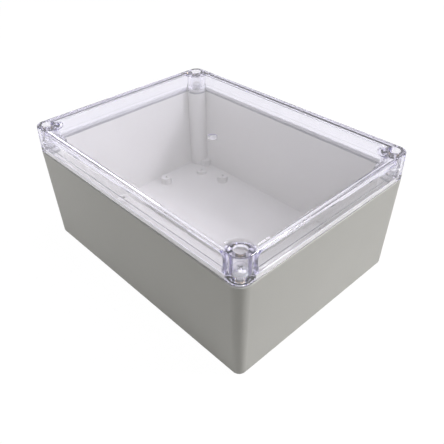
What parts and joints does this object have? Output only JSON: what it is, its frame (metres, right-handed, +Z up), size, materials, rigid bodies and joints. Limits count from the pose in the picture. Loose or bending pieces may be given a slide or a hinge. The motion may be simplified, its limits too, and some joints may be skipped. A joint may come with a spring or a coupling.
{
  "type": "screw-down enclosure with clear lid",
  "caption": "Rectangular electronics enclosure: drafted grey base and clear deep-skirted lid on a gasket, held by corner screws in wells, with board bosses inside.",
  "frame": {"origin": "middle of the underside", "axes": "+X along the length, +Y along the width, +Z up out of the lid"},
  "size_m": [0.2, 0.15, 0.09],
  "materials": {
    "base_plastic": "light warm grey moulding with a fine spark-eroded grain",
    "clear_lid": "clear polished polycarbonate with a faint lavender tint",
    "gasket_rubber": "grey closed-cell sealing cord",
    "screw_steel": "plain stainless steel",
    "washer_nylon": "natural nylon",
    "insert_brass": "turned brass"
  },
  "bodies": {
    "base": {"base": "base_plastic", "gasket": "gasket_rubber", "insert_front_left": "insert_brass", "insert_front_right": "insert_brass", "insert_back_left": "insert_brass", "insert_back_right": "insert_brass"},
    "lid": {"lid": "clear_lid"},
    "washer_front_left": {"washer_front_left": "washer_nylon"},
    "screw_front_left": {"screw_front_left": "screw_steel"},
    "washer_front_right": {"washer_front_right": "washer_nylon"},
    "screw_front_right": {"screw_front_right": "screw_steel"},
    "washer_back_left": {"washer_back_left": "washer_nylon"},
    "screw_back_left": {"screw_back_left": "screw_steel"},
    "washer_back_right": {"washer_back_right": "washer_nylon"},
    "screw_back_right": {"screw_back_right": "screw_steel"}
  },
  "joints": [
    {"name": "lid_lift", "type": "slide", "parent": "base", "child": "lid", "axis": [0, 0, 1], "range_m": [0, 0.12]},
    {"name": "screw_rise_front_left", "type": "slide", "parent": "lid", "child": "washer_front_left", "axis": [0, 0, 1], "range_m": [0, 0.00875]},
    {"name": "screw_turn_front_left", "type": "hinge", "parent": "washer_front_left", "child": "screw_front_left", "pos_m": [-0.0925, -0.0675, 0.0768], "axis": [0, 0, 1], "range_deg": [0, 4501]},
    {"name": "screw_rise_front_right", "type": "slide", "parent": "lid", "child": "washer_front_right", "axis": [0, 0, 1], "range_m": [0, 0.00875]},
    {"name": "screw_turn_front_right", "type": "hinge", "parent": "washer_front_right", "child": "screw_front_right", "pos_m": [0.0925, -0.0675, 0.0768], "axis": [0, 0, 1], "range_deg": [0, 4501]},
    {"name": "screw_rise_back_left", "type": "slide", "parent": "lid", "child": "washer_back_left", "axis": [0, 0, 1], "range_m": [0, 0.00875]},
    {"name": "screw_turn_back_left", "type": "hinge", "parent": "washer_back_left", "child": "screw_back_left", "pos_m": [-0.0925, 0.0675, 0.0768], "axis": [0, 0, 1], "range_deg": [0, 4501]},
    {"name": "screw_rise_back_right", "type": "slide", "parent": "lid", "child": "washer_back_right", "axis": [0, 0, 1], "range_m": [0, 0.00875]},
    {"name": "screw_turn_back_right", "type": "hinge", "parent": "washer_back_right", "child": "screw_back_right", "pos_m": [0.0925, 0.0675, 0.0768], "axis": [0, 0, 1], "range_deg": [0, 4501]}
  ],
  "couplings": [
    {"joint": "screw_turn_front_left", "follows": "screw_rise_front_left", "rad_per_m": 8976},
    {"joint": "screw_turn_front_right", "follows": "screw_rise_front_right", "rad_per_m": 8976},
    {"joint": "screw_turn_back_left", "follows": "screw_rise_back_left", "rad_per_m": 8976},
    {"joint": "screw_turn_back_right", "follows": "screw_rise_back_right", "rad_per_m": 8976}
  ]
}
